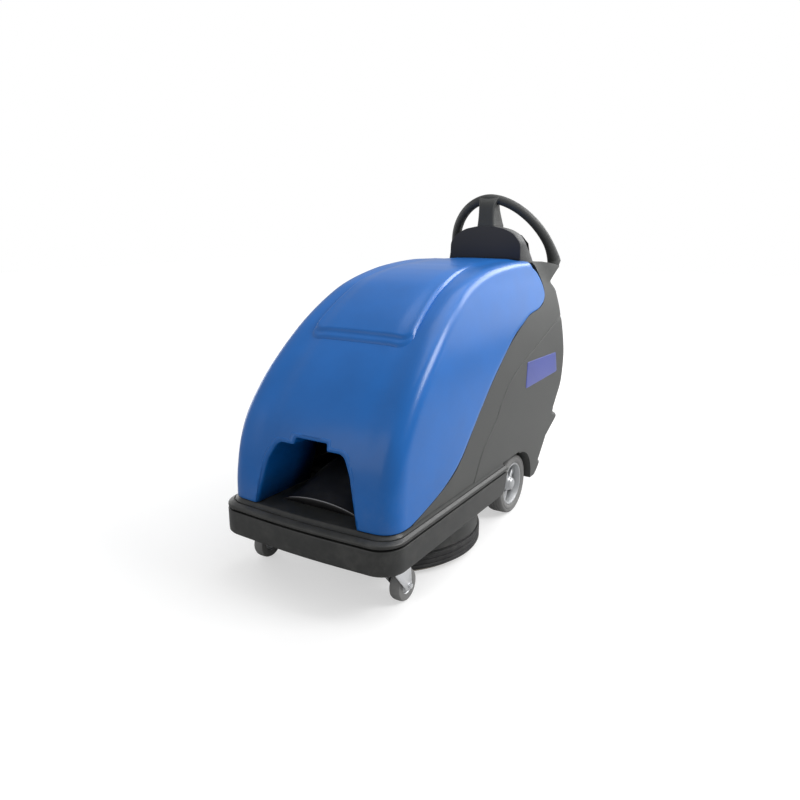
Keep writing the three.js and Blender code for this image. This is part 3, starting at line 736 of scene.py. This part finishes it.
# Heights with the column's half width, front and rear at each; it closes round the hoop at its top.
bm = bmesh.new()
column_rings = []
for height, half, front, rear in through([
        [918, 33.5, 1075, 1176], [943, 33.5, 1075, 1174], [947, 33, 1075, 1172], [965, 31.5, 1076, 1163],
        [990, 30.5, 1077, 1150], [1008, 31, 1078.5, 1141], [1020, 33, 1082, 1136], [1029, 36, 1088, 1131],
        [1035, 40, 1094, 1127], [1040, 44, 1100, 1121]], 45):
    corners = [(-half, front, 9), (half, front, 9), (half - 4, rear, 8), (-half + 4, rear, 8)]
    column_rings.append([machine(u, v, height) for u, v in rounded(corners, 6)])
loft(bm, column_rings, closed=True, caps=True)
column = make_piece("handle_column_grained", bm, charcoal, 50)
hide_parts("handle_column")

hoop_line = bpy.data.curves.new("hoop", "CURVE")
hoop_line.dimensions = "3D"
hoop_line.bevel_depth = 0.001
hoop_line.bevel_resolution = 8
hoop_line.use_fill_caps = True
spline = hoop_line.splines.new("POLY")
hoop_steps = 120
hoop_lean = math.radians(34)
hoop_half, hoop_rise, hoop_power = 196, 257, 2 / 1.85
foot_rise, foot_spread = 75, 6
hoop_points = [(206, 1228, 796, 17)]
for k in range(hoop_steps + 1):
    angle = math.pi * k / hoop_steps
    across = hoop_half * math.copysign(abs(math.cos(angle)) ** hoop_power, math.cos(angle))
    up = hoop_rise * math.sin(angle) ** hoop_power
    foot = max(0.0, 1 - up / foot_rise) ** 1.6
    hoop_points.append((across + math.copysign(foot_spread, across) * foot,
                        1255 - up * math.sin(hoop_lean) - 13 * foot,
                        822.4 + up * math.cos(hoop_lean) - 6 * foot,
                        16.2 + 2.0 * (1 - up / hoop_rise) + 6.0 * foot))
hoop_points.append((-206, 1228, 796, 17))
spline.points.add(len(hoop_points) - 1)
for point, (x, y, z, radius) in zip(spline.points, hoop_points):
    point.co = (*machine(x, y, z), 1)
    point.radius = radius
hoop_guide = bpy.data.objects.new("hoop_guide", hoop_line)
bpy.context.scene.collection.objects.link(hoop_guide)
graph = bpy.context.evaluated_depsgraph_get()
bm = bmesh.new()
bm.from_mesh(bpy.data.meshes.new_from_object(hoop_guide.evaluated_get(graph)))
bpy.data.objects.remove(hoop_guide)
hoop = make_piece("hoop_grip", bm, charcoal, 60)
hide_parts("handle_hoop", "hoop_socket_left", "hoop_socket_right")
for part, slot in ((housing, "body_plastic"), (cover, "console_plastic"), (column, "body_plastic"),
                   (hoop, "grip")):
    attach(part, "chassis")


def from_cad(node, name, finish, width):
    """A copy of a CAD piece, its flat faces joined up and its edges rounded."""
    bm = bmesh.new()
    bm.from_mesh(frame["nodes"][node].data)
    bmesh.ops.remove_doubles(bm, verts=bm.verts, dist=2e-5)
    bmesh.ops.dissolve_limit(bm, angle_limit=math.radians(2), verts=bm.verts, edges=bm.edges)
    piece = make_piece(name, bm, finish, facing=False)
    soften(piece, width)
    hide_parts(node)
    return piece


# ---- Inner front cover ----
# A black moulded cover behind the recess that hides the pad motor: crowned, with a rolled bead along its lip.
case_black = moulded("case_black", (0.010, 0.010, 0.011), dust_grey, 0.45, 500.0, 0.0001)
cover_front, cover_rear, cover_half, cover_foot = 97, 280, 125, 219.3


def hump(x, y):
    """Height of the cover's crown off the floor."""
    back = (y - cover_front) / (cover_rear - cover_front)
    side = min(1.0, abs(x) / cover_half)
    return 219.6 + (19 + 64 * math.sin(back * math.pi / 2)) * (1 - side ** (2 + 2 * back)) ** 0.85


bm = bmesh.new()
cover_rings = []
for y, lift in [(95.5, None), (95, -2), (95.2, 0), (96.5, 1.2), (99, 1.2), (100.5, 0), (104, 0.2)] + [
        (y, 0) for y in np.linspace(110, cover_rear, 30)]:
    across = np.linspace(-cover_half, cover_half, 49)
    cover_rings.append([
        machine(x, y, cover_foot if lift is None else max(cover_foot, hump(x, max(y, cover_front)) + lift))
        for x in across])
loft(bm, cover_rings)
inner_cover = make_piece("inner_cover_crowned", bm, case_black, 50, facing=False)
face_up(inner_cover)
thicken(inner_cover, thin_wall)
# The bead's light grey, glossy colour is a painted highlight: it stands for light caught along the black
# cover's lip.
painted_highlight_grey = moulded("painted_highlight_grey", (0.30, 0.30, 0.31), dust_grey, 0.25, 900.0, 0.00001, coat=0.6)
bm = bmesh.new()
bead_rings = []
bead_start, bead_end, bead_radius = -108, 118, 1.3
for x in np.linspace(bead_start, bead_end, 60):
    middle = Vector((x, 96.2, hump(x, cover_front) + bead_radius))
    fade = bead_radius * math.sin(math.pi * (x - bead_start) / (bead_end - bead_start)) ** 0.5 + 0.15
    bead_rings.append([machine(middle.x, middle.y + fade * math.cos(a), middle.z + fade * math.sin(a))
                       for a in np.linspace(0, math.tau, 9)[:-1]])
loft(bm, bead_rings, closed=True, caps=True)
bead = make_piece("inner_cover_highlight_bead", bm, painted_highlight_grey)
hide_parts("inner_front_cover")
for part in (inner_cover, bead):
    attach(part, "chassis")

# ---- Side plates ----
# A plain blue plate on each flank of the body, set a little skewed, with rounded corners. It carries no
# lettering.
plate_blue = moulded("plate_blue", (0.045, 0.065, 0.29), dust_grey, 0.35, 700.0, 0.00002, coat=0.2)
plate_corners = rounded([(858, 424, 7), (1151, 431, 7), (1141, 502, 7), (876, 509, 7)], 5)
plate_middle = Vector((1006, 467))
for side, name in ((-1, "left"), (1, "right")):
    bm = bmesh.new()
    plate_rings = []
    for size, lift in ((1.0, -1.5), (1.0, 0.6), (0.996, 1.0), (0.985, 1.2), (0.9, 1.2), (0.75, 1.2),
                       (0.5, 1.2), (0.25, 1.2)):
        ring = [plate_middle + (Vector(p) - plate_middle) * size for p in plate_corners]
        plate_rings.append([machine(side * (body_width(y, z) + lift), y, z) for y, z in ring])
    loft(bm, plate_rings, closed=True, caps=True)
    plate = make_piece(f"side_plate_{name}_plain", bm, plate_blue, 40)
    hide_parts(f"side_plate_{name}")
    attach(plate, "chassis")

# ---- Head: shroud, ribbed skirt and pad ----
# A spun steel shroud over the pad, edged by a flexible ribbed skirt. The pad shows as a pale rim under it.
skirt_black = moulded("skirt_black", (0.014, 0.014, 0.015), dust_grey, 0.6, 900.0, 0.00008)


def turned(name, profile, centre, finish, axis="Z", segments=96, angle=35):
    """A turned piece: profile is radius, height in millimetres about an axis through centre."""
    bm = bmesh.new()
    verts = [bm.verts.new((r / 1000, 0, h / 1000)) for r, h in profile]
    edges = [bm.edges.new((verts[i], verts[(i + 1) % len(verts)])) for i in range(len(verts))]
    bmesh.ops.spin(bm, geom=verts + edges, cent=(0, 0, 0), axis=(0, 0, 1), angle=math.tau, steps=segments,
                   use_merge=True)
    bmesh.ops.remove_doubles(bm, verts=bm.verts, dist=1e-6)
    if axis != "Z":
        turn = math.pi / 2 if axis == "X" else -math.pi / 2
        bmesh.ops.rotate(bm, verts=bm.verts, cent=(0, 0, 0), matrix=Matrix.Rotation(turn, 3, "Y"))
    bmesh.ops.translate(bm, verts=bm.verts, vec=centre)
    return make_piece(name, bm, finish, angle)


on_floor = Vector((head_centre.x, head_centre.y, 0))
shroud = turned("head_shroud_spun", [
    (260, 60.3), (265, 60.3), (265, 63.4), (269.6, 64.2), (270.2, 66), (269, 68), (268.5, 92), (266, 99),
    (261, 105), (252, 110), (236, 113), (60, 113), (60, 109), (235, 109), (250, 106), (258, 101), (262, 95),
    (263, 90),
], on_floor, deck_grey)
skirt_profile = [(264, 19), (266, 18)]
for rib in (18, 31, 44):
    skirt_profile += [(274, rib), (275, rib + 1.5), (275, rib + 10), (274, rib + 11.5), (272, rib + 12.2)]
skirt_profile += [(273, 57.4), (272, 58.6), (267, 59), (266, 60), (262, 60)]
skirt = turned("head_skirt_ribbed", skirt_profile, on_floor, skirt_black)
pad_finish, pad_shader, place = new_finish("pad_fibre", specular=0.2)
strands = place.noise(420.0, 5.0, 0.75)
clumps = place.noise(60.0, 4.0, 0.6)
worn = clumps.between(0.35, 0.7)
feed(pad_shader, place, strands.between(0.3, 0.7).tint(worn.tint((0.40, 0.34, 0.26), (0.52, 0.46, 0.38)),
     (0.74, 0.7, 0.62)), strands * 0.1 + 0.85, strands + clumps * 0.5, 0.0012)
pad = turned("pad_disc", [
    (38, 2), (40, 1), (248, 1), (252, 2.4), (254, 6), (254, 20), (252, 24.6), (248, 26), (40, 26), (38, 25),
], on_floor, pad_finish, segments=160)
steel_black = moulded("steel_black", (0.02, 0.02, 0.021), dust_grey, 0.4, 700.0, 0.00003)
for part, node, body_name, slot in ((shroud, "head_shroud", "head", "deck_plastic"),
                                    (skirt, "head_skirt", "head", "black_plastic"),
                                    (pad, "burnishing_pad", "pad_drive", "pad_fibre")):
    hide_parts(node)
    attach(part, body_name)


# ---- Drive wheels ----
# Grey non-marking tyres on cast hubs painted silver, five spokes and a pressed centre cap.
tyre_grey = moulded("tyre_grey", (0.19, 0.19, 0.188), dust_grey, 0.68, 260.0, 0.0002)
spoke_count, spoke_size = 5, (0.018, 0.021, 0.040)
silver_paint, silver_shader, place = new_finish("silver_paint", metallic=0.6)
flake = place.noise(1500.0, 2.0)
brushed = place.noise(9.0, 3.0)
feed(silver_shader, place, flake.tint((0.42, 0.43, 0.44), (0.54, 0.55, 0.56)), brushed * 0.12 + 0.34,
     place.noise(240.0, 3.0), 0.00008)
for side, name in ((-1, "left"), (1, "right")):
    low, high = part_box(f"drive_tyre_{name}")
    centre = (low + high) / 2
    axis = "X" if side > 0 else "-X"
    half = 30
    tread = [(72.2, -half + 4), (76, -half + 1), (82, -half), (94, -half + 0.6), (98, -half + 3.4)]
    for groove in (-16, -5.5, 5.5, 16):
        tread += [(100, groove - 1.6), (98.6, groove - 0.9), (98.6, groove + 0.9), (100, groove + 1.6)]
    tread += [(98, half - 3.4), (95, half - 0.6), (90, half), (88, half - 1.4), (86, half), (77, half - 0.4),
              (72.2, half - 4)]
    tyre = turned(f"tyre_{name}", tread, centre, tyre_grey, axis, 120, 40)
    rim = turned(f"hub_rim_{name}", [
        (62, -24), (71.4, -26), (71.4, 26), (69, 27), (66, 26), (63, 20), (60, 6), (60, -6),
    ], centre, silver_paint, axis)
    boss = turned(f"hub_boss_{name}", [
        (13.2, -26), (25, -26), (27, -8), (26, 12), (24, 18), (21, 21), (13.2, 21),
    ], centre, silver_paint, axis, 64)
    bm = bmesh.new()
    for k in range(spoke_count):
        made = bmesh.ops.create_cube(bm, size=1)["verts"]
        bmesh.ops.scale(bm, verts=made, vec=spoke_size)
        for v in made:
            v.co.y *= 1.0 if v.co.z > 0 else 0.72
            v.co.x *= 0.8 if v.co.z > 0 else 1.15
        bmesh.ops.translate(bm, verts=made, vec=(side * 0.002, 0, 0.043))
        bmesh.ops.rotate(bm, verts=made, cent=(0, 0, 0),
                         matrix=Matrix.Rotation(math.tau * k / spoke_count + 0.3, 3, "X"))
    bmesh.ops.bevel(bm, geom=list(bm.edges), offset=0.004, offset_type="OFFSET", segments=3, profile=0.5,
                    affect="EDGES", material=-1)
    bmesh.ops.translate(bm, verts=bm.verts, vec=centre)
    spokes = make_piece(f"hub_spokes_{name}", bm, silver_paint)
    cap = turned(f"hub_cap_{name}", [
        (0, 31), (8, 30.6), (14, 29), (18, 26), (20.4, 22), (20.4, 21.2), (14, 21.2), (13.4, 27), (0, 27.4),
    ], centre, silver_paint, axis, 48)
    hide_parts(f"drive_tyre_{name}")
    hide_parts(f"drive_hub_{name}")
    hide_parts(f"wheel_cap_{name}")
    for part in (tyre, rim, boss, spokes, cap):
        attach(part, f"wheel_{name}")

# ---- Casters ----
# Swivel casters with pressed, bright zinc forks; the grey rollers run on a bolt through the fork's legs.
roller_grey = moulded("roller_grey", (0.20, 0.20, 0.198), dust_grey, 0.68, 260.0, 0.0002)
zinc, zinc_shader, place = new_finish("zinc_plate", metallic=1.0)
bloom = place.noise(26.0, 5.0, 0.6)
drawn_out = place.node("ShaderNodeMapping", None, {"Vector": place, "Scale": (30.0, 400.0, 400.0)})
scratch = drawn_out.noise(3.0, 2.0)
feed(zinc_shader, place, bloom.tint((0.72, 0.73, 0.75), (0.90, 0.91, 0.92)), bloom * 0.2 + 0.24,
     scratch + bloom * 0.5, 0.00005)
for side, name in ((-1, "left"), (1, "right")):
    fork = from_cad(f"caster_fork_{name}", f"fork_{name}", zinc, 0.0008)
    plate = from_cad(f"caster_plate_{name}", f"swivel_plate_{name}", zinc, 0.001)
    low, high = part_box(f"caster_wheel_{name}")
    centre = (low + high) / 2
    roller = turned(f"roller_{name}", [
        (24, -15), (38, -16), (41, -15), (43.2, -11), (44, -6), (44, 6), (43.2, 11), (41, 15), (38, 16),
        (24, 15),
    ], centre, roller_grey, "X", 80)
    core = turned(f"roller_core_{name}", [
        (5.6, -18), (12, -18), (13, -14), (22, -11), (24.2, -14), (24.2, 14), (22, 11), (13, 14), (12, 18),
        (5.6, 18),
    ], centre, silver_paint, "X", 48)
    bolt = turned(f"axle_bolt_{name}", [
        (0, -29), (7, -29), (7.6, -28), (7.6, -23.4), (4.6, -23.2), (4.6, 23.2), (8, 23.4), (8, 25), (7, 28),
        (0, 29),
    ], centre, zinc, "X", 6, 20)
    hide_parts(f"caster_wheel_{name}")
    for part, body_name, slot in ((fork, f"caster_{name}", "zinc_plate"),
                                  (bolt, f"caster_{name}", "zinc_plate"),
                                  (plate, "chassis", "zinc_plate"),
                                  (roller, f"caster_roller_{name}", "tyre"),
                                  (core, f"caster_roller_{name}", "silver_paint")):
        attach(part, body_name)

# ---- Everything under the covers, and the operator's panel ----
# Carried over from the CAD with rounded edges and a finish of its own.
red_plastic = moulded("red_plastic", (0.5, 0.02, 0.012), dust_grey, 0.3, 600.0, 0.00003, coat=0.3)
battery_grey = moulded("battery_grey", (0.035, 0.037, 0.042), dust_grey, 0.4, 500.0, 0.00005)
display_dark = moulded("display_dark", (0.012, 0.015, 0.018), dust_grey, 0.12, 300.0, 0.00001, coat=0.6)
carried = [
    (1.5, case_black, ["battery_tray", "control_panel", "drive_control", "charger_socket",
                       "pad_lock", "pad_motor_cap"]),
    (1.5, battery_grey, [f"battery_{i}" for i in range(1, 7)]),
    (1.0, steel_black, ["main_frame", "transaxle", "drive_motor", "pad_motor", "pad_driver",
                        "lift_actuator", "controller_box"]),
    (0.5, zinc, ["hinge_base", "hinge_leaf", "lift_rod", "ignition_key", "key_switch"]),
    (1.0, charcoal, ["drive_paddle_left", "drive_paddle_right", "speed_knob", "pad_rocker"]),
    (0.8, red_plastic, ["stop_button", "breaker_button"]),
    (0.8, display_dark, ["battery_gauge", "hour_meter"]),
]
body_of = {node: name for name, nodes in frame["record"]["behaviour"]["bodies"].items() for node in nodes}
for width, finish, nodes in carried:
    for node in nodes:
        part = from_cad(node, f"{node}_finished", finish, width / 1000)
        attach(part, body_of[node])
